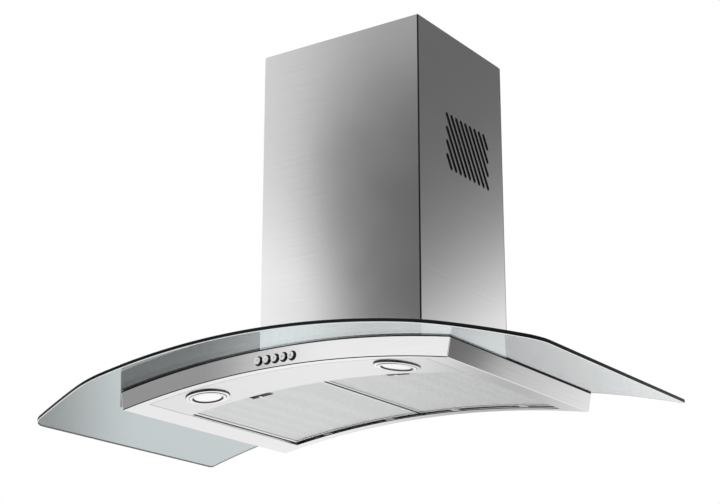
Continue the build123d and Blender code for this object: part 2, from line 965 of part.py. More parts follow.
def motor():
    """Motor that reaches into the fan through the left inlet."""
    body = rod_x(motor_radius, motor_end - motor_length, motor_end, blower_setback, blower_z)
    body = fillet(body.edges().filter_by(GeomType.CIRCLE), small_corner)
    nose_end = motor_end + motor_nose_length
    body = body + rod_x(motor_nose_radius, motor_end - past, nose_end, blower_setback, blower_z)
    bore_start = motor_end - shaft_in_motor - past
    bore = rod_x(shaft_radius + shaft_play, bore_start, nose_end + past, blower_setback, blower_z)
    return only_solid(body - bore)


def motor_shaft():
    end = fan_disc_offset + hub_length + shaft_stands_out
    shaft = rod_x(shaft_radius, motor_end - shaft_in_motor, end, blower_setback, blower_z)
    return only_solid(chamfer(shaft.edges().filter_by(GeomType.CIRCLE), shaft_edge))


def motor_bracket():
    """Armed spider that carries the motor on the left cheek."""
    low = inlet_flare + seat_gap
    high = low + bracket_plate
    outer = inlet_radius + inlet_flare + bracket_ring_room
    collar_outer = motor_radius + bracket_ring_room
    spider = tube(outer, outer - bracket_ring_width, low, high)
    spider = spider + tube(outer, outer - bracket_foot_width, hair_gap, high)
    spider = spider + tube(collar_outer, motor_radius + hair_gap, low, high)
    arm_start = collar_outer - bracket_foot_width
    arm_end = outer - bracket_foot_width
    for i in range(bracket_arm_count):
        arm = Pos((arm_start + arm_end) / 2, 0, (low + high) / 2) * Box(
            arm_end - arm_start, bracket_arm_width, bracket_plate
        )
        spider = spider + Rot(0, 0, i * 360 / bracket_arm_count + bracket_arm_turn) * arm
    return only_solid(at_cheek(-1) * spider)


# ---- outlet ----
def duct_adapter():
    """Open box on the suction box that gathers the air for the round collar."""
    half = adapter_size / 2
    front = collar_setback + half
    back = collar_setback - half
    high = box_top_z + adapter_height
    case = block(-half, half, front, back, box_top_z, high)
    case = fillet(case.edges().filter_by(Axis.Z), adapter_corner)
    inner = half - collar_wall
    room = block(
        -inner, inner, front - collar_wall, back + collar_wall, box_top_z - past, high - collar_wall
    )
    bore = upright(collar_radius - collar_wall, high - collar_wall - past, high + past)
    return only_solid(case - room - Pos(0, -collar_setback, 0) * bore)


def duct_collar():
    """Round spigot for the duct, with the holes of the flaps' pin."""
    low = box_top_z + adapter_height
    collar = Pos(0, -collar_setback, 0) * tube(collar_radius, collar_radius - collar_wall, low, collar_top_z)
    reach = collar_radius + past
    return only_solid(collar - rod_x(flap_pin_radius + flap_pin_play, -reach, reach, collar_setback, flap_z))


def flap_pin():
    return only_solid(rod_x(flap_pin_radius, -collar_radius, collar_radius, collar_setback, flap_z))


def damper_flap(s):
    """Half disc that gravity shuts; s is -1 for the front flap and 1 for the rear one."""
    radius = collar_radius - collar_wall - flap_gap
    disc = upright(radius, -flap_thickness / 2, flap_thickness / 2)
    room = knuckle_radius + knuckle_gap
    leaf = disc & Pos(0, s * (radius + room), 0) * Box(2 * radius, 2 * radius, 2 * knuckle_radius)
    for i in (-1, 1):
        middle = i * knuckle_spacing / 2 + s * (knuckle_length + knuckle_gap) / 2
        knuckle = Pos(middle, 0, 0) * Rot(0, 90, 0) * Cylinder(knuckle_radius, knuckle_length)
        web = Pos(middle, s * room, 0) * Box(knuckle_length, 2 * knuckle_radius, flap_thickness)
        leaf = leaf + knuckle + web
    bore = Rot(0, 90, 0) * Cylinder(flap_pin_radius + knuckle_play, 4 * collar_radius)
    return only_solid(Pos(0, -collar_setback, flap_z) * (leaf - bore))


# ---- mains terminals ----
def terminal_box():
    length, depth, height = terminal_size
    case = Pos(terminal_x, -terminal_setback, box_top_z + height / 2) * Box(length, depth, height)
    case = fillet(case.edges().filter_by(Axis.Z), small_corner)
    case = chamfer(case.edges().group_by(Axis.Z)[-1], terminal_edge)
    top = box_top_z + height
    entry = Pos(terminal_x, -terminal_setback, 0) * upright(gland_bore, top - gland_entry, top + past)
    return only_solid(case - entry)


def cable_gland():
    """Gland for the supply cable: a hexagon and a domed nut with a clear bore."""
    low = box_top_z + terminal_size[2]
    high = low + gland_height
    hexagon = extrude(Pos(0, 0, low) * RegularPolygon(gland_radius + past, 6), amount=gland_hexagon)
    dome = upright(gland_radius, low + gland_hexagon, high)
    dome = fillet(dome.edges().group_by(Axis.Z)[-1], gland_edge)
    gland = hexagon + dome - upright(gland_bore, low - past, high + past)
    return only_solid(Pos(terminal_x, -terminal_setback, 0) * gland)


def motor_capacitor():
    right = box_width / 2 - capacitor_inset
    height = box_top_z + capacitor_radius + hair_gap
    can = rod_x(capacitor_radius, right - capacitor_length, right, capacitor_setback, height)
    return only_solid(fillet(can.edges().filter_by(GeomType.CIRCLE), switch_corner))


# ---- chimney ----
def vent_slots(width, half, wall):
    """Parallel sloping slots that together fill an upright rectangle, cut through both sides."""
    rise = tan(radians(vent_slope))
    front = -vent_setback - vent_field_depth / 2
    back = -vent_setback + vent_field_depth / 2
    low = crown_z + vent_height - vent_field_height / 2
    high = crown_z + vent_height + vent_field_height / 2
    middle_z = (low + high) / 2
    slots = []
    for i in range(vent_count):
        middle_y = -vent_setback + (i - (vent_count - 1) / 2) * vent_pitch
        top = min(high, middle_z + (middle_y - front) * rise)
        bottom = max(low, middle_z - (back - middle_y) * rise)
        start = Vector(middle_y + (middle_z - top) / rise, top)
        end = Vector(middle_y + (middle_z - bottom) / rise, bottom)
        centre = (start + end) / 2
        slot = Rot(0, 0, -vent_slope) * SlotCenterToCenter((end - start).length, width)
        for x in (half - wall - past, -half - past):
            plane = Plane(origin=(x, 0, 0), x_dir=(0, 1, 0), z_dir=(1, 0, 0))
            slots.append(extrude(plane * Pos(centre.X, centre.Y) * slot, amount=wall + 2 * past))
    return slots


def cover(half, front, wall, back, low, high, turn_in):
    """Folded cover: front, two sides and two narrow returns towards each other at the wall."""
    outer = block(-half, half, front, back, low, high)
    outer = fillet(outer.edges().filter_by(Axis.Z).group_by(Axis.Y)[0], fold_radius)
    room = block(-half + wall, half - wall, front - wall, back + wall, low - past, high + past)
    gap_half = half - turn_in
    gap = block(-gap_half, gap_half, back + wall + past, back - past, low - past, high + past)
    return outer - room - gap


def chimney_lower():
    """The cover that shows, standing on the glass."""
    half = chimney_width / 2
    high = chimney_top_z - upper_stands_out
    skin = cover(half, chimney_depth, chimney_sheet, 0, crown_z + body_bottom, high, chimney_return)
    foot = glass_top + chimney_glass_gap
    skin = skin - arch_plate(far_below, foot, -chimney_width, chimney_width, 2 * chimney_depth, -past)
    return only_solid(skin - vent_slots(vent_slot_width, half, chimney_sheet))


def chimney_upper():
    """The cover inside it, which slides up to the ceiling."""
    low = chimney_top_z - upper_length
    skin = cover(upper_half, upper_front, upper_sheet, upper_back, low, chimney_top_z, chimney_return)
    return only_solid(skin - vent_slots(vent_clear_width, upper_half, upper_sheet))


def chimney_bracket():
    """Wall bracket in the top of the upper cover."""
    half = upper_half - upper_sheet - seat_gap
    back = upper_back + upper_sheet + seat_gap
    high = chimney_top_z - bracket_drop
    low = high - bracket_height
    plate = block(-half, half, back + bracket_sheet, back, low, high)
    for s in (-1, 1):
        edges = sorted((s * half, s * (half - bracket_sheet)))
        plate = plate + block(edges[0], edges[1], back + bracket_arm, back, low, high)
    middle = (low + high) / 2
    for s in (-1, 1):
        x = s * bracket_hole_spacing / 2
        boss = rod_y(bracket_boss_radius, x, back + bracket_sheet / 2, 0, middle)
        hole = rod_y(bracket_hole_radius, x, back + bracket_sheet + past, -past, middle)
        plate = plate + boss - hole
    return only_solid(plate)


# ---- all the pieces ----
parts = {
    "glass_canopy": glass_canopy(),
    "glass_gasket": glass_gasket(),
    "body_shell": body_shell(),
    "top_plate": top_plate(),
    "rear_plate": rear_plate(),
    "throat_seal": throat_seal(),
    "light_panel": light_panel(),
    "switch_block": switch_block(),
    "lamp_transformer": lamp_transformer(),
    "suction_box": suction_box(),
    "clamp_screws": Compound(children=clamp_screws()),
    "clamp_nuts": Compound(children=clamp_nuts()),
    "glass_bushes": Compound(children=glass_bushes()),
    "scroll_band": scroll_band(),
    "fan_blades": Compound(children=fan_blades()),
    "fan_disc": fan_disc(),
    "motor": motor(),
    "motor_shaft": motor_shaft(),
    "motor_bracket": motor_bracket(),
    "duct_adapter": duct_adapter(),
    "duct_collar": duct_collar(),
    "flap_pin": flap_pin(),
    "damper_flap_front": damper_flap(-1),
    "damper_flap_rear": damper_flap(1),
    "terminal_box": terminal_box(),
    "cable_gland": cable_gland(),
    "motor_capacitor": motor_capacitor(),
    "chimney_lower": chimney_lower(),
    "chimney_upper": chimney_upper(),
    "chimney_bracket": chimney_bracket(),
}
for number, x in enumerate(button_places(), start=1):
    parts[f"button_{number}"] = push_button(x)
for name, s in side.items():
    lamp_place = on_arch(body_bottom, s * lamp_x, lamp_setback)
    parts[f"lamp_bezel_{name}"] = only_solid(lamp_place * lamp_bezel())
    parts[f"lamp_lens_{name}"] = only_solid(lamp_place * lamp_lens())
    parts[f"lamp_reflector_{name}"] = only_solid(lamp_place * lamp_reflector())
    parts[f"lamp_bulb_{name}"] = only_solid(lamp_place * lamp_bulb())
    parts[f"filter_frame_{name}"] = filter_frame(s)
    parts[f"filter_mesh_{name}"] = filter_mesh(s)
    parts[f"latch_case_{name}"] = latch_case(s)
    parts[f"filter_latch_{name}"] = filter_latch(s)
    parts[f"scroll_cheek_{name}"] = scroll_cheek(s)
    parts[f"inlet_ring_{name}"] = inlet_ring(s)
    parts[f"fan_ring_{name}"] = fan_ring(s)

os.makedirs("parts", exist_ok=True)
for name, shape in parts.items():
    export_step(shape, f"parts/{name}.step")
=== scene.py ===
import bpy, bmesh, json, math, random
from mathutils import Matrix, Vector


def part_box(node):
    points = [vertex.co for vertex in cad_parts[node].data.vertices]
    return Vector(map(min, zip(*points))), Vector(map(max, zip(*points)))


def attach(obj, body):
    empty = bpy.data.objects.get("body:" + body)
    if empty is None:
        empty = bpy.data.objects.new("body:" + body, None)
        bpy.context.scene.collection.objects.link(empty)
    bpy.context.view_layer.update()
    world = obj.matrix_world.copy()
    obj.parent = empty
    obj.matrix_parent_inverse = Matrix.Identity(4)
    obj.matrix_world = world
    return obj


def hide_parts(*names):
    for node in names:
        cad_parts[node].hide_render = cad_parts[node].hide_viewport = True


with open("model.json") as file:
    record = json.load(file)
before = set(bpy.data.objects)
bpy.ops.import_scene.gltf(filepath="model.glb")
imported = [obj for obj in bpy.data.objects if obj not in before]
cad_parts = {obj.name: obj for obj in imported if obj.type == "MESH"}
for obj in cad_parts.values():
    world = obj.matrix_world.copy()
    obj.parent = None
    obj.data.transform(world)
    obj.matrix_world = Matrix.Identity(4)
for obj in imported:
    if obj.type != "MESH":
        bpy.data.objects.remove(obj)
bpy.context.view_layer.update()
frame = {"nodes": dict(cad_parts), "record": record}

nodes = frame["nodes"]
print("frame loaded,", len(nodes), "pieces")

# the arch that the glass and the whole body follow, in metres
arch = {"radius": 1.600, "crown": -0.140, "bodyBottom": -0.030}


def archZ(offset, x):
    r = arch["radius"] + offset
    return arch["crown"] - arch["radius"] + math.sqrt(r * r - x * x)


def archSpot(offset, x, y):
    # a place this far above the underside of the glass, standing square to the arch
    lean = math.asin(x / (arch["radius"] + offset))
    return Matrix.Translation((x, y, archZ(offset, x))) @ Matrix.Rotation(lean, 4, "Y")


def smooth(low, high, value):
    t = max(0.0, min(1.0, (value - low) / (high - low)))
    return t * t * (3 - 2 * t)


def mixed(a, b, t):
    return a + (b - a) * t


def grade(colour, share):
    return tuple(min(1, c * share) for c in colour)


# meshes
def addPiece(name, bm, smoothAngle=30):
    mesh = bpy.data.meshes.new(name)
    bmesh.ops.recalc_face_normals(bm, faces=bm.faces)
    bm.to_mesh(mesh)
    bm.free()
    piece = bpy.data.objects.new(name, mesh)
    bpy.context.scene.collection.objects.link(piece)
    mesh.shade_smooth()
    mesh.set_sharp_from_angle(angle=math.radians(smoothAngle))
    return piece


def turnProfile(bm, profile, steps=64, place=Matrix(), closed=False, material=0):
    # turns (radius, height) points about the local Z axis; a radius of 0 closes the end
    rings = []
    for radius, height in profile:
        if radius < 1e-6:
            rings.append([bm.verts.new(place @ Vector((0, 0, height)))])
            continue
        turns = [2 * math.pi * i / steps for i in range(steps)]
        rings.append([bm.verts.new(place @ Vector((radius * math.cos(a), radius * math.sin(a), height)))
                      for a in turns])
    for low, high in zip(rings, rings[1:] + rings[:1] if closed else rings[1:]):
        for i in range(steps):
            j = (i + 1) % steps
            if len(low) == 1:
                face = bm.faces.new((low[0], high[i], high[j]))
            elif len(high) == 1:
                face = bm.faces.new((low[i], low[j], high[0]))
            else:
                face = bm.faces.new((low[i], low[j], high[j], high[i]))
            face.material_index = material


def roundedBar(bm, size, place, radius, material=0):
    # a small bar with rounded ends and edges, centred on the place
    made = bmesh.ops.create_cube(bm, size=1.0)
    for v in made["verts"]:
        v.co = Vector(c * s for c, s in zip(v.co, size))
    edges = list({e for v in made["verts"] for e in v.link_edges})
    rounded = bmesh.ops.bevel(bm, geom=edges, offset=radius, segments=3, profile=0.5, affect="EDGES")
    corners = {v for f in rounded["faces"] for v in f.verts} | {v for v in made["verts"] if v.is_valid}
    for face in {f for v in corners for f in v.link_faces}:
        face.material_index = material
    for v in corners:
        v.co = place @ v.co


# finishes
def newFinish(name):
    finish = bpy.data.materials.new(name)
    finish.use_nodes = True
    tree = finish.node_tree
    return finish, tree, tree.nodes["Principled BSDF"]


def stretchedNoise(tree, scale, detail=4.0):
    # noise over the object's own place, pulled out along the grain
    place = tree.nodes.new("ShaderNodeTexCoord")
    stretch = tree.nodes.new("ShaderNodeMapping")
    stretch.inputs["Scale"].default_value = scale
    noise = tree.nodes.new("ShaderNodeTexNoise")
    noise.inputs["Scale"].default_value = 1.0
    noise.inputs["Detail"].default_value = detail
    noise.inputs["Roughness"].default_value = 0.6
    tree.links.new(place.outputs["Object"], stretch.inputs["Vector"])
    tree.links.new(stretch.outputs["Vector"], noise.inputs["Vector"])
    return noise.outputs["Fac"]


def spread(tree, source, low, high, fromLow=0.3, fromHigh=0.7):
    node = tree.nodes.new("ShaderNodeMapRange")
    node.inputs["From Min"].default_value = fromLow
    node.inputs["From Max"].default_value = fromHigh
    node.inputs["To Min"].default_value = low
    node.inputs["To Max"].default_value = high
    tree.links.new(source, node.inputs["Value"])
    return node.outputs["Result"]


def tint(tree, source, low, high, fromLow=0.3, fromHigh=0.7):
    ramp = tree.nodes.new("ShaderNodeValToRGB")
    ramp.color_ramp.elements[0].position = fromLow
    ramp.color_ramp.elements[1].position = fromHigh
    ramp.color_ramp.elements[0].color = (*low, 1)
    ramp.color_ramp.elements[1].color = (*high, 1)
    tree.links.new(source, ramp.inputs["Fac"])
    return ramp.outputs["Color"]


def blendColours(tree, share, first, second):
    node = tree.nodes.new("ShaderNodeMix")
    node.data_type = "RGBA"
    tree.links.new(share, node.inputs["Factor"])
    tree.links.new(first, node.inputs["A"])
    tree.links.new(second, node.inputs["B"])
    return node.outputs["Result"]


def lift(tree, shader, source, distance, strength=1.0):
    bump = tree.nodes.new("ShaderNodeBump")
    bump.inputs["Distance"].default_value = distance
    bump.inputs["Strength"].default_value = strength
    tree.links.new(source, bump.inputs["Height"])
    tree.links.new(bump.outputs["Normal"], shader.inputs["Normal"])


def calculate(tree, kind, first, second=0):
    node = tree.nodes.new("ShaderNodeMath")
    node.operation = kind
    for socket, value in zip(node.inputs, (first, second)):
        if isinstance(value, (int, float)):
            socket.default_value = value
        else:
            tree.links.new(value, socket)
    return node.outputs[0]


def times(tree, *values):
    result = values[0]
    for value in values[1:]:
        result = calculate(tree, "MULTIPLY", result, value)
    return result


def highest(tree, *values):
    result = values[0]
    for value in values[1:]:
        result = calculate(tree, "MAXIMUM", result, value)
    return result


def above(tree, value, limit, soft=0.0002):
    # 1 where the value is over the limit, 0 under it
    return spread(tree, value, 0, 1, limit, limit + soft)


def below(tree, value, limit, soft=0.0002):
    return spread(tree, value, 1, 0, limit, limit + soft)


def along(tree, output, axis):
    # one coordinate of the object's own place or of its faces' direction
    place = tree.nodes.new("ShaderNodeTexCoord")
    parts = tree.nodes.new("ShaderNodeSeparateXYZ")
    tree.links.new(place.outputs[output], parts.inputs["Vector"])
    return parts.outputs[axis]


def fromMiddle(tree):
    # distance from the middle plane of the hood
    return calculate(tree, "ABSOLUTE", along(tree, "Object", "X"))


def turnedSideways(tree):
    return calculate(tree, "ABSOLUTE", along(tree, "Normal", "X"))


def archHeight(tree):
    # height over the underside of the glass
    x, z = along(tree, "Object", "X"), along(tree, "Object", "Z")
    up = calculate(tree, "SUBTRACT", z, arch["crown"] - arch["radius"])
    span = calculate(tree, "ADD", times(tree, x, x), times(tree, up, up))
    return calculate(tree, "SUBTRACT", calculate(tree, "SQRT", span), arch["radius"])


def shadePart(tree, shader, shade, *masks):
    # covers the base colour with the shade wherever one of the masks is 1
    bright = shader.inputs["Base Color"].links[0].from_socket
    covered = blendColours(tree, highest(tree, *masks), bright, shade)
    tree.links.new(covered, shader.inputs["Base Color"])


def mixShaders(tree, share, first, second):
    node = tree.nodes.new("ShaderNodeMixShader")
    tree.links.new(share, node.inputs["Fac"])
    tree.links.new(first, node.inputs[1])
    tree.links.new(second, node.inputs[2])
    return node.outputs["Shader"]


# camera, where the photograph was taken
camera = {
    "place": (1.4682, -2.3427, -0.7713), "pitch": 107.74, "turn": 34.37,
    "lens": 86.70, "sensor": 36, "farthest": 100,
}
eye = bpy.data.cameras.new("camera")
eye.lens = camera["lens"]
eye.sensor_width = camera["sensor"]
eye.clip_end = camera["farthest"]
eyeObject = bpy.data.objects.new("camera", eye)
eyeObject.location = camera["place"]
eyeObject.rotation_euler = (math.radians(camera["pitch"]), 0, math.radians(camera["turn"]))
bpy.context.scene.collection.objects.link(eyeObject)
bpy.context.scene.camera = eyeObject
bpy.context.scene.view_settings.view_transform = "Standard"
print("camera placed")

# studio light: an even sky that shows white, and two soft lamps
light = {
    "sky": 0.80, "white": 1.0, "aim": (0, -0.2, 0),
    "keyPlace": (-2.4, -3.0, 2.2), "keySize": 1.8, "keyPower": 60,
    "sidePlace": (2.8, -1.4, 1.2), "sideSize": 1.4, "sidePower": 18,
}


def rayKind(tree, *kinds):
    # 1 for rays of these kinds, 0 for others
    path = tree.nodes.new("ShaderNodeLightPath")
    return highest(tree, *(path.outputs[kind] for kind in kinds))


def makeSky():
    world = bpy.data.worlds.new("studio")
    bpy.context.scene.world = world
    world.use_nodes = True
    tree = world.node_tree
    seen = rayKind(tree, "Is Camera Ray", "Is Glossy Ray", "Is Transmission Ray")
    shine = tree.nodes["Background"]
    shine.inputs["Color"].default_value = (1, 1, 1, 1)
    tree.links.new(spread(tree, seen, light["sky"], light["white"], 0, 1), shine.inputs["Strength"])


def softLamp(name, place, size, power):
    lamp = bpy.data.lights.new(name, "AREA")
    lamp.shape = "DISK"
    lamp.size = size
    lamp.energy = power
    holder = bpy.data.objects.new(name, lamp)
    holder.location = place
    holder.rotation_euler = (Vector(light["aim"]) - Vector(place)).to_track_quat("-Z", "Y").to_euler()
    holder.visible_glossy = False
    bpy.context.scene.collection.objects.link(holder)


makeSky()
softLamp("keyLamp", light["keyPlace"], light["keySize"], light["keyPower"])
softLamp("sideLamp", light["sidePlace"], light["sideSize"], light["sidePower"])

# pale floor, far below, which metal and glass show as white
floorValues = {
    "height": -2.6, "half": 14.0, "colour": (0.92, 0.92, 0.915), "darkest": 0.985,
    "cloud": 0.6, "roughness": 0.8, "mirrored": 0.94,
}


def layFloor():
    v = floorValues
    bm = bmesh.new()
    bmesh.ops.create_grid(bm, x_segments=8, y_segments=8, size=v["half"])
    bmesh.ops.translate(bm, verts=bm.verts, vec=(0, 0, v["height"]))
    floor = addPiece("floor", bm)
    if floor.data.polygons[0].normal.z < 0:
        floor.data.flip_normals()
    finish, tree, shader = newFinish("paleFloor")
    cloud = stretchedNoise(tree, (v["cloud"],) * 3)
    colour = tint(tree, cloud, grade(v["colour"], v["darkest"]), v["colour"])
    tree.links.new(colour, shader.inputs["Base Color"])
    shader.inputs["Roughness"].default_value = v["roughness"]
    white = tree.nodes.new("ShaderNodeEmission")
    white.inputs["Strength"].default_value = v["mirrored"]
    seen = rayKind(tree, "Is Glossy Ray", "Is Transmission Ray")
    top = mixShaders(tree, seen, shader.outputs["BSDF"], white.outputs["Emission"])
    # from below the floor is clear, so that it never hides the hood
    side = tree.nodes.new("ShaderNodeNewGeometry")
    clear = tree.nodes.new("ShaderNodeBsdfTransparent")
    both = mixShaders(tree, side.outputs["Backfacing"], top, clear.outputs["BSDF"])
    tree.links.new(both, tree.nodes["Material Output"].inputs["Surface"])
    floor.data.materials.append(finish)


layFloor()

# studio cards that only show in the metal and through the glass; a row of four numbers
# is a level, the next one, and the two places between which the first turns into the second
frontCard = {
    "name": "frontCard", "distance": -2.0, "x": (-2.5, 0.4), "z": (0.2, 2.3), "fade": 0.16,
    "light": (1.08, 0.78, 0.62, 1.15), "dark": (0.105, 0.43, 1.0, 1.42),
    "edge": (-1.245, -1.32, 0.5, 0.9), "edgeBack": (0, 0.04, 0.95, 1.25),
    "blur": (0.145, 0.203, 1.0, 1.4), "farLevel": 0.75, "far": (-0.7, 0.2),
}
panelCard = {
    "name": "panelCard", "distance": -0.8, "x": (-1.1, 0.35), "z": (-0.24, 0.05), "fade": 0.03,
    "level": (0.33, 0.98, -0.47, -0.19),
}
lowCard = {
    "name": "lowCard", "distance": -2.0, "x": (-2.0, -1.0), "z": (-1.35, -0.5), "fade": 0.12,
    "level": 0.10, "cover": (1, 0, -1.36, -1.24),
}
backCard = {
    "name": "backCard", "distance": 1.0, "x": (-2.4, 1.9), "z": (-0.75, 1.9), "fade": 0.12,
    "chimney": (0.145, 0.95), "slope": 0.5, "slopeStart": (0.71, 0.2),
    "slopeLength": 0.25, "slopePower": 1.5,
    "body": (0.95, 0.60, 0.76, 0.95), "bodyFront": (1, 0.22, 1.01, 1.15), "bodyTop": (0.22, 0.31),
    "foot": (1.0, 0.65, 0.72, 1.06), "footFront": (1, 0.25, 1.08, 1.2), "footTop": (-0.15, 0.0),
    "left": (0.10, 0.53, -1.90, -1.50), "leftFoot": (-0.12, 0.0),
    "dip": 0.5, "dipPlace": -0.48, "dipWidth": 0.24,
    "right": (0.05, 0.20, -0.32, -0.05), "rightFoot": (-0.12, 0.03),
    "toRight": (-1.0, -0.7), "toSide": (0.3, 0.55),
}
stripCard = {
    "name": "stripCard", "distance": 0.98, "x": (-1.566, -0.8), "z": (0.235, 0.62), "fade": 0.0,
    "level": (0.03, 0.13, -1.35, -1.12),
}
roomCard = {  # bent round the hood, with x in degrees
    "name": "roomCard", "radius": 3.9, "x": (6, 66), "z": (-2.3, 0.9), "fade": 0.0,
    "level": 0.13, "fadeAngle": 14, "fadeHeight": 0.6,
}


def graded(step, value):
    first, second, low, high = step
    return mixed(first, second, smooth(low, high, value))


def frontLevel(x, z):
    # what the front of the chimney mirrors: light on its left, dark on its right
    c = frontCard
    edge = graded(c["edge"], z) + graded(c["edgeBack"], z)
    half = graded(c["blur"], z)
    level = mixed(graded(c["light"], z), graded(c["dark"], z), smooth(edge - half, edge + half, x))
    return mixed(level, c["farLevel"], smooth(*c["far"], x)), 1


def panelLevel(x, z):
    return graded(panelCard["level"], x), 1


def lowLevel(x, z):
    return lowCard["level"], graded(lowCard["cover"], x)


def backLevel(x, z):
    c = backCard
    # mirrored by the right side of the chimney, and lower down by that of the body
    slant = max(0.0, z + c["slope"] * (x - c["slopeStart"][0]) - c["slopeStart"][1])
    dark, rise = c["chimney"]
    chimneySide = dark + rise * math.exp(-(slant / c["slopeLength"]) ** c["slopePower"])
    bodySide = graded(c["body"], x) * graded(c["bodyFront"], x)
    foot = graded(c["foot"], x) * graded(c["footFront"], x)
    side = mixed(bodySide, chimneySide, smooth(*c["bodyTop"], z))
    side = mixed(foot, side, smooth(*c["footTop"], z))
    # seen through the left part of the glass
    left = mixed(1.0, graded(c["left"], x), smooth(*c["leftFoot"], z))
    # mirrored by the underside of the right part of the glass, and seen through it
    dip = 1 - c["dip"] * math.exp(-((x - c["dipPlace"]) / c["dipWidth"]) ** 2)
    right = mixed(dip, graded(c["right"], x), smooth(*c["rightFoot"], z))
    return mixed(mixed(left, right, smooth(*c["toRight"], x)), side, smooth(*c["toSide"], x)), 1


def stripLevel(x, z):
    return graded(stripCard["level"], x), 1


def roomLevel(x, z):
    c = roomCard
    (x0, x1), (z0, z1) = c["x"], c["z"]
    across = smooth(x0, x0 + c["fadeAngle"], x) * smooth(x1, x1 - c["fadeAngle"], x)
    return c["level"], across * smooth(z0, z0 + c["fadeHeight"], z) * smooth(z1, z1 - c["fadeHeight"], z)


def cardPaint(name):
    # glows at the level of each corner, and is clear where the cover is 0
    finish = bpy.data.materials.new(name)
    finish.use_nodes = True
    tree = finish.node_tree
    tree.nodes.clear()
    shown = tree.nodes.new("ShaderNodeOutputMaterial")
    glow = tree.nodes.new("ShaderNodeEmission")
    clear = tree.nodes.new("ShaderNodeBsdfTransparent")
    level = tree.nodes.new("ShaderNodeAttribute")
    level.attribute_name = "level"
    tree.links.new(level.outputs["Color"], glow.inputs["Color"])
    painted = mixShaders(tree, level.outputs["Alpha"], clear.outputs["BSDF"], glow.outputs["Emission"])
    tree.links.new(painted, shown.inputs["Surface"])
    return finish


def hangCard(values, levelAt, through=False, mirrored=True):
    (x0, x1), (z0, z1) = values["x"], values["z"]
    bm = bmesh.new()
    bmesh.ops.create_grid(bm, x_segments=150, y_segments=110, size=0.5)
    paint = bm.verts.layers.float_color.new("level")
    for v in bm.verts:
        x, z = mixed(x0, x1, v.co.x + 0.5), mixed(z0, z1, v.co.y + 0.5)
        level, cover = levelAt(x, z)
        if values["fade"]:
            cover *= smooth(0, values["fade"], min(x - x0, x1 - x, z - z0, z1 - z))
        v[paint] = (level, level, level, cover)
        if "radius" in values:
            angle = math.radians(x)
            v.co = (values["radius"] * math.sin(angle), -values["radius"] * math.cos(angle), z)
        else:
            v.co = (x, values["distance"], z)
    card = addPiece(values["name"], bm)
    card.data.materials.append(cardPaint(values["name"] + "Paint"))
    card.visible_camera = False
    card.visible_diffuse = False
    card.visible_shadow = False
    card.visible_volume_scatter = False
    card.visible_transmission = through
    card.visible_glossy = mirrored


hangCard(frontCard, frontLevel)
hangCard(panelCard, panelLevel)
hangCard(lowCard, lowLevel)
hangCard(backCard, backLevel, through=True)
hangCard(stripCard, stripLevel, through=True, mirrored=False)
hangCard(roomCard, roomLevel)
print("floor, lamps and cards in place")

# sheet steel of the chimney and the body, brushed along its length, with painted shade along folds, gaps,
# rear edges and slot walls
steel = {
    "colour": (0.86, 0.855, 0.855), "chimneyRoughness": 0.17, "bodyRoughness": 0.13,
    "panelShare": 0.93, "panelRoughness": 0.2, "grain": 1400, "grainLength": 7, "turn": 0.4,
    # painted shade: its colour, and where it lies on the folds, panel ends, rear edges and slot walls
    "paintedShade": (0.02, 0.02, 0.022), "lowerFold": -0.0288, "panelSide": 0.0035,
    "chimneyFold": 0.1476, "chimneyRear": -0.0014,
    "slotsOver": 0.1484, "slotsBehind": -0.25, "slotsBelow": 0.400,
}


def brushedSteel(name, colour, roughness, grain=steel["grain"], turn=steel["turn"]):
    # the grain runs along X, and along Y on faces that look sideways
    finish, tree, shader = newFinish(name)
    shader.inputs["Metallic"].default_value = 1.0
    shader.inputs["Anisotropic"].default_value = turn
    sideways = above(tree, turnedSideways(tree), 0.6, 0.2)
    frontLines = stretchedNoise(tree, (steel["grainLength"], grain, grain), detail=3.0)
    sideLines = stretchedNoise(tree, (grain, steel["grainLength"], grain), detail=3.0)
    lines = blendColours(tree, sideways, frontLines, sideLines)
    clouds = stretchedNoise(tree, (5, 5, 5), detail=2.0)
    tree.links.new(tint(tree, lines, grade(colour, 0.955), grade(colour, 1.03)), shader.inputs["Base Color"])
    tree.links.new(spread(tree, clouds, roughness - 0.02, roughness + 0.02), shader.inputs["Roughness"])
    lift(tree, shader, lines, 0.00002, 0.3)
    across = []
    for axis in "XY":
        turnAbout = tree.nodes.new("ShaderNodeTangent")
        turnAbout.direction_type = "RADIAL"
        turnAbout.axis = axis
        across.append(turnAbout.outputs["Tangent"])
    tree.links.new(blendColours(tree, sideways, *across), shader.inputs["Tangent"])
    return finish, tree, shader


def paintedShade(tree):
    # the colour of painted shade, a little uneven
    grey = steel["paintedShade"]
    return tint(tree, stretchedNoise(tree, (40, 40, 40)), grade(grey, 0.8), grade(grey, 1.2))


def makeChimneySteel():
    finish, tree, shader = brushedSteel("chimneySteel", steel["colour"], steel["chimneyRoughness"])
    x, y, z = (along(tree, "Object", axis) for axis in "XYZ")
    forward = below(tree, along(tree, "Normal", "Y"), -0.15, 0.1)
    # painted shade along the front of the right-hand fold
    fold = times(tree, forward, above(tree, x, steel["chimneyFold"]))
    # painted shade on everything within 1.4 mm of the back: the rear edges and flanges
    rear = above(tree, y, steel["chimneyRear"])
    # painted shade on the walls of the vent slots
    slotWalls = times(tree, below(tree, turnedSideways(tree), 0.5, 0.1),
                      above(tree, fromMiddle(tree), steel["slotsOver"]),
                      above(tree, y, steel["slotsBehind"]), below(tree, z, steel["slotsBelow"], 0.002))
    shadePart(tree, shader, paintedShade(tree), fold, rear, slotWalls)
    return finish


def makeBodySteel():
    finish, tree, shader = brushedSteel("bodySteel", steel["colour"], steel["bodyRoughness"])
    forward = below(tree, along(tree, "Normal", "Y"), -0.5, 0.2)
    # painted shade along the lowest strip of the front panel, at its fold
    fold = times(tree, below(tree, archHeight(tree), steel["lowerFold"]), forward)
    shadePart(tree, shader, paintedShade(tree), fold)
    return finish


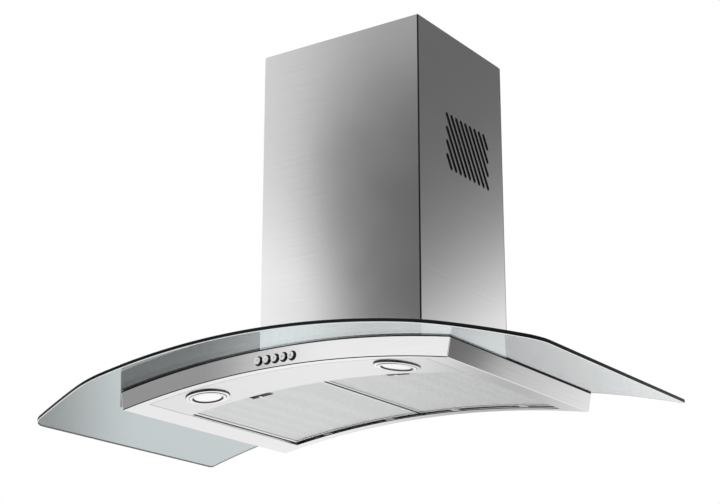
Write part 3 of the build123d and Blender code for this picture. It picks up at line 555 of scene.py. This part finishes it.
def makePanelSteel():
    colour = grade(steel["colour"], steel["panelShare"])
    finish, tree, shader = brushedSteel("panelSteel", colour, steel["panelRoughness"])
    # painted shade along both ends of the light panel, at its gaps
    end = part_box("light_panel")[1][0] - steel["panelSide"]
    shadePart(tree, shader, paintedShade(tree), above(tree, fromMiddle(tree), end))
    return finish


chimneySteel = makeChimneySteel()
bodySteel = makeBodySteel()
panelSteel = makePanelSteel()

# lamps, at the same distance on both sides of the middle
lamp = {
    "x": 0.17085, "y": -0.354, "chrome": (0.92, 0.92, 0.925), "chromeRoughness": 0.04,
    # painted shade rings on the bezel: their radii and colours
    "darkRings": ((0.0218, 0.0238), (0.0279, 0.0289), (0.0330, 0.0361)),
    "ringShade": ((0.05, 0.045, 0.04), (0.09, 0.08, 0.07)),
    "lens": ((0.93, 0.93, 0.925), (0.98, 0.98, 0.975)), "lensGlow": 0.13,
}

# filters: folded aluminium frames with painted shade where they face each other, and packs of expanded
# aluminium
filterValues = {
    "frameColour": (0.86, 0.862, 0.862), "frameRoughness": 0.24, "frameGrain": 900, "frameTurn": 0.3,
    "gap": 0.0030, "meshColour": (0.88, 0.888, 0.886), "meshShade": (0.72, 0.728, 0.726),
    "netColour": (0.92, 0.928, 0.926), "netRoughness": 0.45, "netLevel": 0.0041, "netMargin": 0.002,
    "diamondLength": 0.0090, "diamondWidth": 0.0050, "strand": 0.0014, "tilt": 0.0001, "unevenness": 0.00025,
}


def filterAluminium():
    v = filterValues
    finish, tree, shader = brushedSteel("filterAluminium", v["frameColour"], v["frameRoughness"],
                                        v["frameGrain"], v["frameTurn"])
    # painted shade in the gap between the two filters
    shadePart(tree, shader, paintedShade(tree), below(tree, fromMiddle(tree), v["gap"]))
    return finish


def zincSheet():
    # spangles of hot dip zinc
    finish, tree, shader = newFinish("zincSheet")
    shader.inputs["Metallic"].default_value = 1.0
    place = tree.nodes.new("ShaderNodeTexCoord")
    cells = tree.nodes.new("ShaderNodeTexVoronoi")
    cells.inputs["Scale"].default_value = 110
    tree.links.new(place.outputs["Object"], cells.inputs["Vector"])
    grey = tree.nodes.new("ShaderNodeSeparateColor")
    tree.links.new(cells.outputs["Color"], grey.inputs["Color"])
    spangle = tint(tree, grey.outputs["Red"], (0.52, 0.54, 0.56), (0.68, 0.70, 0.71), 0, 1)
    tree.links.new(spangle, shader.inputs["Base Color"])
    tree.links.new(spread(tree, grey.outputs["Green"], 0.34, 0.52, 0, 1), shader.inputs["Roughness"])
    return finish


def clearGlass(name, colour, roughness=0.0):
    finish, tree, shader = newFinish(name)
    shader.inputs["Transmission Weight"].default_value = 1.0
    shader.inputs["IOR"].default_value = 1.5
    haze = stretchedNoise(tree, (9, 9, 9), detail=5.0)
    tree.links.new(tint(tree, haze, grade(colour, 0.99), colour), shader.inputs["Base Color"])
    tree.links.new(spread(tree, haze, roughness, roughness + 0.012), shader.inputs["Roughness"])
    return finish


def paintedPlastic(name, colour, roughness, grain=900, depth=0.00004, gloss=0.5):
    # moulded plastic, paint or rubber: fine pores and faint clouds
    finish, tree, shader = newFinish(name)
    pores = stretchedNoise(tree, (grain, grain, grain), detail=3.0)
    clouds = stretchedNoise(tree, (14, 14, 14), detail=3.0)
    tree.links.new(tint(tree, clouds, grade(colour, 0.88), grade(colour, 1.1)), shader.inputs["Base Color"])
    tree.links.new(spread(tree, clouds, roughness - 0.05, roughness + 0.05), shader.inputs["Roughness"])
    shader.inputs["Specular IOR Level"].default_value = gloss
    lift(tree, shader, pores, depth, 0.5)
    return finish


def brightMetal(name, colour, roughness):
    finish, tree, shader = newFinish(name)
    shader.inputs["Metallic"].default_value = 1.0
    wear = stretchedNoise(tree, (160, 160, 160), detail=5.0)
    tree.links.new(tint(tree, wear, grade(colour, 0.95), colour), shader.inputs["Base Color"])
    tree.links.new(spread(tree, wear, roughness, roughness + 0.04), shader.inputs["Roughness"])
    return finish


def lampTrim():
    # chrome with painted shade lines: round its rim, in its step and round the lens
    finish = brightMetal("bezelChrome", lamp["chrome"], lamp["chromeRoughness"])
    tree = finish.node_tree
    x = calculate(tree, "SUBTRACT", fromMiddle(tree), lamp["x"])
    y = calculate(tree, "SUBTRACT", along(tree, "Object", "Y"), lamp["y"])
    radius = calculate(tree, "SQRT", calculate(tree, "ADD", times(tree, x, x), times(tree, y, y)))
    # painted shade rings, placed by distance from each lamp's middle
    rings = [times(tree, above(tree, radius, inner - 0.0001), below(tree, radius, outer - 0.0001))
             for inner, outer in lamp["darkRings"]]
    shade = tint(tree, stretchedNoise(tree, (120, 120, 120)), *lamp["ringShade"])
    shadePart(tree, tree.nodes["Principled BSDF"], shade, *rings)
    return finish


def expandedAluminium():
    # deeper layers of the pack: crossing strands with painted shade in the gaps
    v = filterValues
    finish, tree, shader = newFinish("expandedAluminium")
    shader.inputs["Metallic"].default_value = 1.0
    place = tree.nodes.new("ShaderNodeTexCoord")
    strands = tree.nodes.new("ShaderNodeTexVoronoi")
    strands.feature = "DISTANCE_TO_EDGE"
    strands.inputs["Scale"].default_value = 300
    strands.inputs["Randomness"].default_value = 0.35
    tree.links.new(place.outputs["Object"], strands.inputs["Vector"])
    depth = strands.outputs["Distance"]
    # painted shade: darker away from the strands
    tree.links.new(tint(tree, depth, v["meshColour"], v["meshShade"], 0.1, 0.45), shader.inputs["Base Color"])
    clouds = stretchedNoise(tree, (300, 300, 300), detail=2.0)
    tree.links.new(spread(tree, clouds, 0.36, 0.5), shader.inputs["Roughness"])
    lift(tree, shader, depth, 0.0004, 0.4)
    return finish


def frostedLens():
    finish, tree, shader = newFinish("frostedLens")
    haze = stretchedNoise(tree, (700, 700, 700), detail=2.0)
    tree.links.new(tint(tree, haze, *lamp["lens"]), shader.inputs["Base Color"])
    shader.inputs["Roughness"].default_value = 0.22
    shader.inputs["Coat Weight"].default_value = 0.8
    shader.inputs["Coat Roughness"].default_value = 0.04
    shader.inputs["Emission Color"].default_value = (1, 1, 1, 1)
    shader.inputs["Emission Strength"].default_value = lamp["lensGlow"]
    lift(tree, shader, haze, 0.0001, 0.4)
    return finish


finishes = {
    "steel": bodySteel,
    "zinc_steel": zincSheet(),
    # partly painted shade: black paint, made near black so that what is seen through the vents reads as shade
    "black_paint": paintedPlastic("blackPaintAndShade", (0.012, 0.012, 0.013), 0.5, 320, 0.00006, 0.3),
    # black rubber of the seals, also laid round the vent slots as painted shade
    "black_rubber": paintedPlastic("sealRubberAndShade", (0.006, 0.006, 0.007), 0.75, 500, 0.0001, 0.12),
    "bolts": brightMetal("zincBolts", (0.70, 0.70, 0.69), 0.28),
    "button_metal": brightMetal("buttonMetal", (0.86, 0.86, 0.86), 0.25),
    "black_plastic": paintedPlastic("blackPlastic", (0.03, 0.03, 0.033), 0.45),
    "grey_plastic": paintedPlastic("greyPlastic", (0.26, 0.27, 0.28), 0.42),
    "fan_plastic": paintedPlastic("fanPlastic", (0.70, 0.70, 0.68), 0.40),
    "motor_paint": paintedPlastic("motorPaint", (0.10, 0.10, 0.11), 0.38, 240, 0.0001),
    "shaft_steel": brightMetal("shaftSteel", (0.75, 0.75, 0.75), 0.16),
    "capacitor_plastic": paintedPlastic("capacitorPlastic", (0.80, 0.80, 0.77), 0.28),
    "bezel_chrome": lampTrim(),
    "lens_glass": frostedLens(),
    "reflector": brightMetal("lampReflector", (0.90, 0.90, 0.90), 0.12),
    "bulb_glass": clearGlass("bulbGlass", (0.97, 0.97, 0.96), 0.02),
    "filter_metal": filterAluminium(),
    "mesh_metal": expandedAluminium(),
    "latch_tray": paintedPlastic("latchTray", (0.18, 0.18, 0.18), 0.4),
    "latch_metal": brightMetal("latchMetal", (0.86, 0.86, 0.86), 0.10),
}
slotOf = {part["node"]: part["material_slot"] for part in frame["record"]["subparts"]}
for name, node in nodes.items():
    if slotOf[name] == "clear_glass":
        continue
    finish = finishes[slotOf[name]]
    if name.startswith("chimney"):
        finish = chimneySteel
    if name == "light_panel":
        finish = panelSteel
    for slot in node.material_slots:
        slot.material = finish
print("finishes given to the pieces")

# glass canopy
glass = {
    "width": 0.900, "depth": 0.495, "bow": 0.008, "bowSteps": 48, "clipWidth": 0.150, "clipDepth": 0.047,
    "bendRadius": 0.230, "bendReach": 0.03, "frontCorner": 0.028, "rearCorner": 0.006,
    "thickness": 0.006, "notchWidth": 0.230, "notchDepth": 0.208, "notchCorner": 0.014,
    "holeRadius": 0.005, "sideHoles": 0.133, "sideHoleDepths": (0.060, 0.150),
    "frontHoles": 0.060, "frontHoleDepth": 0.226, "arris": 0.0008, "strip": 0.008,
    # edge: near black, a painted dark reflection; band: the paler middle part of the edge
    "colour": (0.77, 0.88, 0.895), "edge": (0.002, 0.0025, 0.003), "edgeShine": 0.12,
    "band": (0.06, 0.07, 0.08), "bandHeights": (0.0008, 0.0017), "bandSoft": 0.0004,
    "bandEnd": 0.24, "bandFade": 0.06,
    "arrisColour": (0.93, 0.96, 0.96), "arrisRoughness": 0.2,
}


def edgeGlass():
    # a ground edge with a painted dark reflection: near black, with a paler band along its middle part
    g = glass
    finish, tree, shader = newFinish("groundEdgePaintedReflection")
    height = archHeight(tree)
    low, high = g["bandHeights"]
    over = above(tree, height, low - g["bandSoft"] / 2, g["bandSoft"])
    under = below(tree, height, high - g["bandSoft"] / 2, g["bandSoft"])
    inBand = times(tree, over, under, below(tree, fromMiddle(tree), g["bandEnd"], g["bandFade"]))
    streaks = stretchedNoise(tree, (30, 30, 500), detail=3.0)
    darkPart = tint(tree, streaks, grade(g["edge"], 0.7), grade(g["edge"], 1.3))
    palePart = tint(tree, streaks, grade(g["band"], 0.8), grade(g["band"], 1.2))
    tree.links.new(blendColours(tree, inBand, darkPart, palePart), shader.inputs["Base Color"])
    tree.links.new(spread(tree, streaks, 0.25, 0.4), shader.inputs["Roughness"])
    shader.inputs["Specular IOR Level"].default_value = g["edgeShine"]
    return finish


def cornerArc(before, corner, after, radius, steps):
    # rounds a corner of an outline; before and after are points on its two sides
    corner = Vector(corner)
    a = (Vector(before) - corner).normalized()
    b = (Vector(after) - corner).normalized()
    half = math.acos(max(-1, min(1, a.dot(b)))) / 2
    back = radius / math.tan(half)
    start, end = corner + a * back, corner + b * back
    centre = corner + (a + b).normalized() * (radius / math.sin(half))
    angle0 = math.atan2(start.y - centre.y, start.x - centre.x)
    angle1 = math.atan2(end.y - centre.y, end.x - centre.x)
    sweep = (angle1 - angle0 + math.pi) % (2 * math.pi) - math.pi
    angles = [angle0 + sweep * i / steps for i in range(steps + 1)]
    return [(centre.x + radius * math.cos(angle), centre.y + radius * math.sin(angle)) for angle in angles]


def glassOutline():
    # right half: side, clipped front corner, bend, then the shallow bow of the front
    g = glass
    half, bend = g["width"] / 2, g["width"] / 2 - g["clipWidth"]
    bendY = g["bow"] - g["depth"]
    sideY = bendY + g["clipDepth"]
    bowRadius = (bend * bend + g["bow"] ** 2) / (2 * g["bow"])
    centreY = bowRadius - g["depth"]
    nearBend = bend - g["bendReach"]
    bowPoint = (nearBend, centreY - math.sqrt(bowRadius ** 2 - nearBend ** 2))
    notchHalf, notchY, r = g["notchWidth"] / 2, -g["notchDepth"], g["notchCorner"]
    right = [(notchHalf, 0)] + cornerArc((notchHalf, 0), (half, 0), (half, sideY), g["rearCorner"], 8)
    right += cornerArc((half, 0), (half, sideY), (bend, bendY), g["frontCorner"], 16)
    right += cornerArc((half, sideY), (bend, bendY), bowPoint, g["bendRadius"], 16)
    angle0 = math.atan2(right[-1][1] - centreY, right[-1][0])
    for i in range(1, g["bowSteps"] + 1):
        a = mixed(angle0, -math.pi / 2, i / g["bowSteps"])
        right.append((bowRadius * math.cos(a), centreY + bowRadius * math.sin(a)))
    left = [(-x, y) for x, y in reversed(right[:-1])]
    notch = cornerArc((-notchHalf, 0), (-notchHalf, notchY), (notchHalf, notchY), r, 8)
    notch += cornerArc((-notchHalf, notchY), (notchHalf, notchY), (notchHalf, 0), r, 8)
    return right + left + notch


def clampSpots():
    g = glass
    spots = [(s * g["sideHoles"], -y) for s in (-1, 1) for y in g["sideHoleDepths"]]
    return spots + [(s * g["frontHoles"], -g["frontHoleDepth"]) for s in (-1, 1)]


def makeGlass():
    g = glass
    flat = bpy.data.curves.new("glassCut", "CURVE")
    flat.dimensions = "2D"
    flat.fill_mode = "BOTH"
    flat.extrude = g["thickness"] / 2
    outlines = [glassOutline()]
    for x, y in clampSpots():
        outlines.append([(x + g["holeRadius"] * math.cos(a), y + g["holeRadius"] * math.sin(a))
                         for a in (2 * math.pi * i / 32 for i in range(32))])
    for outline in outlines:
        line = flat.splines.new("POLY")
        line.points.add(len(outline) - 1)
        for point, (x, y) in zip(line.points, outline):
            point.co = (x, y, 0, 1)
        line.use_cyclic_u = True
    holder = bpy.data.objects.new("glassCut", flat)
    bpy.context.scene.collection.objects.link(holder)
    cut = bpy.data.meshes.new_from_object(holder.evaluated_get(bpy.context.evaluated_depsgraph_get()))
    bpy.data.objects.remove(holder)
    bm = bmesh.new()
    bm.from_mesh(cut)
    bmesh.ops.remove_doubles(bm, verts=bm.verts, dist=1e-6)
    x = -g["width"] / 2 + g["strip"]
    while x < g["width"] / 2 - g["strip"] / 2:
        everything = bm.verts[:] + bm.edges[:] + bm.faces[:]
        bmesh.ops.bisect_plane(bm, geom=everything, plane_co=(x, 0, 0), plane_no=(1, 0, 0), dist=1e-7)
        x += g["strip"]
    rims = [e for e in bm.edges if len(e.link_faces) == 2 and e.calc_face_angle(0) > math.radians(60)]
    bmesh.ops.bevel(bm, geom=rims, offset=g["arris"], segments=1, affect="EDGES")
    bmesh.ops.recalc_face_normals(bm, faces=bm.faces)
    for face in bm.faces:  # pane, ground edge with painted dark reflection, and lower arris with a painted highlight
        rise = face.normal.z
        if abs(rise) > 0.9:
            face.material_index = 0
        elif rise < -0.3:
            face.material_index = 2
        else:
            face.material_index = 1
    for v in bm.verts:
        v.co = archSpot(v.co.z + g["thickness"] / 2, v.co.x, v.co.y).translation
    piece = addPiece("glassCanopy", bm, 28)
    piece.data.materials.append(clearGlass("canopyGlass", g["colour"]))
    piece.data.materials.append(edgeGlass())
    # painted highlight: the lower arris is bright metal, for the glint of the glass edge
    piece.data.materials.append(brightMetal("arrisHighlight", g["arrisColour"], g["arrisRoughness"]))
    piece.visible_glossy = False  # steel shows the cards, not the glass over it
    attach(piece, "hood")
    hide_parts("glass_canopy")


makeGlass()
print("glass canopy made")

# push buttons: satin caps with a dish, a bright rim and small grey marks
button = {
    "radius": 0.00525, "dish": 0.0004, "rim": 0.0042, "length": 0.0188,
    "face": (0.93, 0.93, 0.93), "metal": 0.15, "side": (0.03, 0.03, 0.03), "roughness": 0.2,
    "mark": (0.06, 0.06, 0.06), "bar": (0.0005, 0.0026, 0.0002), "barRound": 0.00008, "barStep": 0.0011,
    "ring": (0.0014, 0.0018), "dot": 0.0006, "panel": -0.4122, "cover": 0.0075,
}


def facingFront(node, y):
    # a place on the button's axis, with its own Z towards the front
    low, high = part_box(node)
    middle = Matrix.Translation(((low[0] + high[0]) / 2, y, (low[2] + high[2]) / 2))
    return middle @ Matrix.Rotation(math.radians(90), 4, "X")


def makeButtons():
    b = button
    capFinish = brightMetal("buttonFace", b["face"], b["roughness"])
    capFinish.node_tree.nodes["Principled BSDF"].inputs["Metallic"].default_value = b["metal"]
    # partly painted shade: the near-black sides stand for a dark button body and for the shade on it
    sideFinish = brightMetal("buttonSide", b["side"], b["roughness"])
    markFinish = paintedPlastic("buttonMark", b["mark"], 0.5)
    r, rim, dish = b["radius"], b["rim"], b["dish"]
    dishSteps = [(rim * t, -dish * (1 - t * t)) for t in (0, 0.2, 0.4, 0.6, 0.8, 1)]
    face = dishSteps + [(rim + 0.0003, -0.00003), (r - 0.0004, -0.0003), (r - 0.0001, -0.0007)]
    side = [face[-1], (r, -0.0011), (r, -0.0030), (r - 0.0002, -0.0032), (r - 0.0002, -0.0037),
            (r, -0.0039), (r, -b["length"]), (0, -b["length"])]
    inner, outer = b["ring"]
    ring = [(inner, -0.00040), (outer, -0.00040), (outer, -0.00028), (inner, -0.00028)]
    dot = [(0, -0.0003), (b["dot"], -0.0003), (b["dot"], -0.0005), (0, -0.0005)]
    for i in range(1, 6):
        node = "button_%d" % i
        place = facingFront(node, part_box(node)[0][1])
        bm = bmesh.new()
        turnProfile(bm, face, place=place)
        turnProfile(bm, side, place=place, material=1)
        bmesh.ops.remove_doubles(bm, verts=bm.verts, dist=1e-7)
        # a ring on the outer two, with a dot in the last, and one to three bars on the others
        if i in (1, 5):
            turnProfile(bm, ring, steps=32, place=place, closed=True, material=2)
        if i == 5:
            turnProfile(bm, dot, steps=24, place=place, material=2)
        for step in range(i - 1 if i < 5 else 0):
            spot = place @ Matrix.Translation(((step - (i - 2) / 2) * b["barStep"], 0, -0.00036))
            roundedBar(bm, b["bar"], spot, b["barRound"], 2)
        cap = addPiece("buttonCap%d" % i, bm, 35)
        for finish in (capFinish, sideFinish, markFinish):
            cap.data.materials.append(finish)
        cap.visible_glossy = False
        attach(cap, node)
        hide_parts(node)


makeButtons()


def coverHoles():
    # only the glass over the front panel sees these, so that it mirrors plain steel
    bm = bmesh.new()
    for i in range(1, 6):
        place = facingFront("button_%d" % i, button["panel"])
        turnProfile(bm, [(0, 0), (button["cover"], 0)], steps=24, place=place)
    covers = addPiece("holeCovers", bm)
    covers.data.materials.append(bodySteel)
    covers.visible_camera = False
    covers.visible_diffuse = False
    covers.visible_shadow = False
    covers.visible_transmission = False


coverHoles()
print("buttons made")


# the outer layer of each filter's pack: an expanded sheet with tilted strands, bent on the arch
def makeNets():
    v = filterValues
    netFinish = brightMetal("netAluminium", v["netColour"], v["netRoughness"])
    chance = random.Random(7)
    for side in ("left", "right"):
        low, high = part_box("filter_mesh_" + side)
        stepX, stepY = v["diamondLength"] / 2, v["diamondWidth"] / 2
        columns = int((high[0] - low[0] - v["netMargin"]) / stepX / 2)
        rows = int((high[1] - low[1] - v["netMargin"]) / stepY / 2)
        x0 = (low[0] + high[0]) / 2 - columns * stepX
        y0 = (low[1] + high[1]) / 2 - rows * stepY
        bm = bmesh.new()
        spots = {}
        for i in range(2 * columns + 1):
            for j in range(2 * rows + 1):
                if (i + j) % 2:
                    place = (x0 + i * stepX, y0 + j * stepY)
                    moved = [c + chance.uniform(-1, 1) * v["unevenness"] for c in place]
                    spots[i, j] = bm.verts.new(moved + [0])
        diamonds = [bm.faces.new((spots[i - 1, j], spots[i, j - 1], spots[i + 1, j], spots[i, j + 1]))
                    for i in range(1, 2 * columns) for j in range(1, 2 * rows) if (i + j) % 2 == 0]
        strands = set(bmesh.ops.inset_individual(bm, faces=diamonds, thickness=v["strand"] / 2)["faces"])
        holes = [f for f in bm.faces if f not in strands]
        for hole in holes:
            middle = hole.calc_center_median()
            for vert in hole.verts:
                vert.co.z = v["tilt"] if vert.co.y > middle.y else -v["tilt"]
        bmesh.ops.delete(bm, geom=holes, context="FACES")
        for vert in bm.verts:
            level = arch["bodyBottom"] + v["netLevel"] + max(-v["tilt"], min(v["tilt"], vert.co.z))
            vert.co = archSpot(level, vert.co.x, vert.co.y).translation
        net = addPiece("filterNet_" + side, bm, 40)
        net.data.materials.append(netFinish)
        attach(net, "filter_" + side)


makeNets()
print("filter nets made")

# painted shade round the vent slots: dark strips laid on the chimney's sides
vents = {
    "node": "chimney_lower", "side": 0.150, "near": 0.00005, "rear": -0.02, "front": -0.24, "top": 0.39,
    "fewest": 6, "rim": 0.0015, "over": 0.00006,
}


def slotLoops(mesh, side):
    # closed rows of corners round each slot, in the plane of that side
    links = {}
    for edge in mesh.edges:
        if len(edge.link_faces) != 2 or any(abs(v.co.x - side) > vents["near"] for v in edge.verts):
            continue
        if not all(vents["front"] < v.co.y < vents["rear"] and v.co.z < vents["top"] for v in edge.verts):
            continue
        flat = [abs(face.normal.x) > 0.9 for face in edge.link_faces]
        if flat[0] != flat[1]:
            a, b = edge.verts
            links.setdefault(a, []).append(b)
            links.setdefault(b, []).append(a)
    loops = []
    while links:
        start = next(iter(links))
        loop, here = [], start
        while here in links:
            loop.append(here.co.copy())
            ahead = [v for v in links.pop(here) if v in links]
            if not ahead:
                break
            here = ahead[0]
        loops.append(loop)
    return loops


def makeVentShade():
    v = vents
    source = bmesh.new()
    source.from_mesh(nodes[v["node"]].data)
    bmesh.ops.remove_doubles(source, verts=source.verts, dist=1e-7)
    bm = bmesh.new()
    count = 0
    for sign in (-1, 1):
        for loop in slotLoops(source, sign * v["side"]):
            if len(loop) < v["fewest"]:
                continue
            count += 1
            middle = sum(loop, Vector()) / len(loop)
            inner, outer = [], []
            for i, spot in enumerate(loop):
                ahead = (loop[(i + 1) % len(loop)] - loop[i - 1]).normalized()
                out = Vector((0, -ahead.z, ahead.y))
                if out.dot(spot - middle) < 0:
                    out = -out
                raised = Vector((sign * v["over"], 0, 0))
                inner.append(bm.verts.new(spot + raised))
                outer.append(bm.verts.new(spot + raised + out * v["rim"]))
            for i in range(len(loop)):
                bm.faces.new((inner[i - 1], inner[i], outer[i], outer[i - 1]))
    source.free()
    rims = addPiece("ventShadeStrips", bm)
    # the strips take the black rubber finish, as painted shade
    rims.data.materials.append(finishes["black_rubber"])
    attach(rims, "hood")
    print("vent rims made for", count, "slots")


makeVentShade()
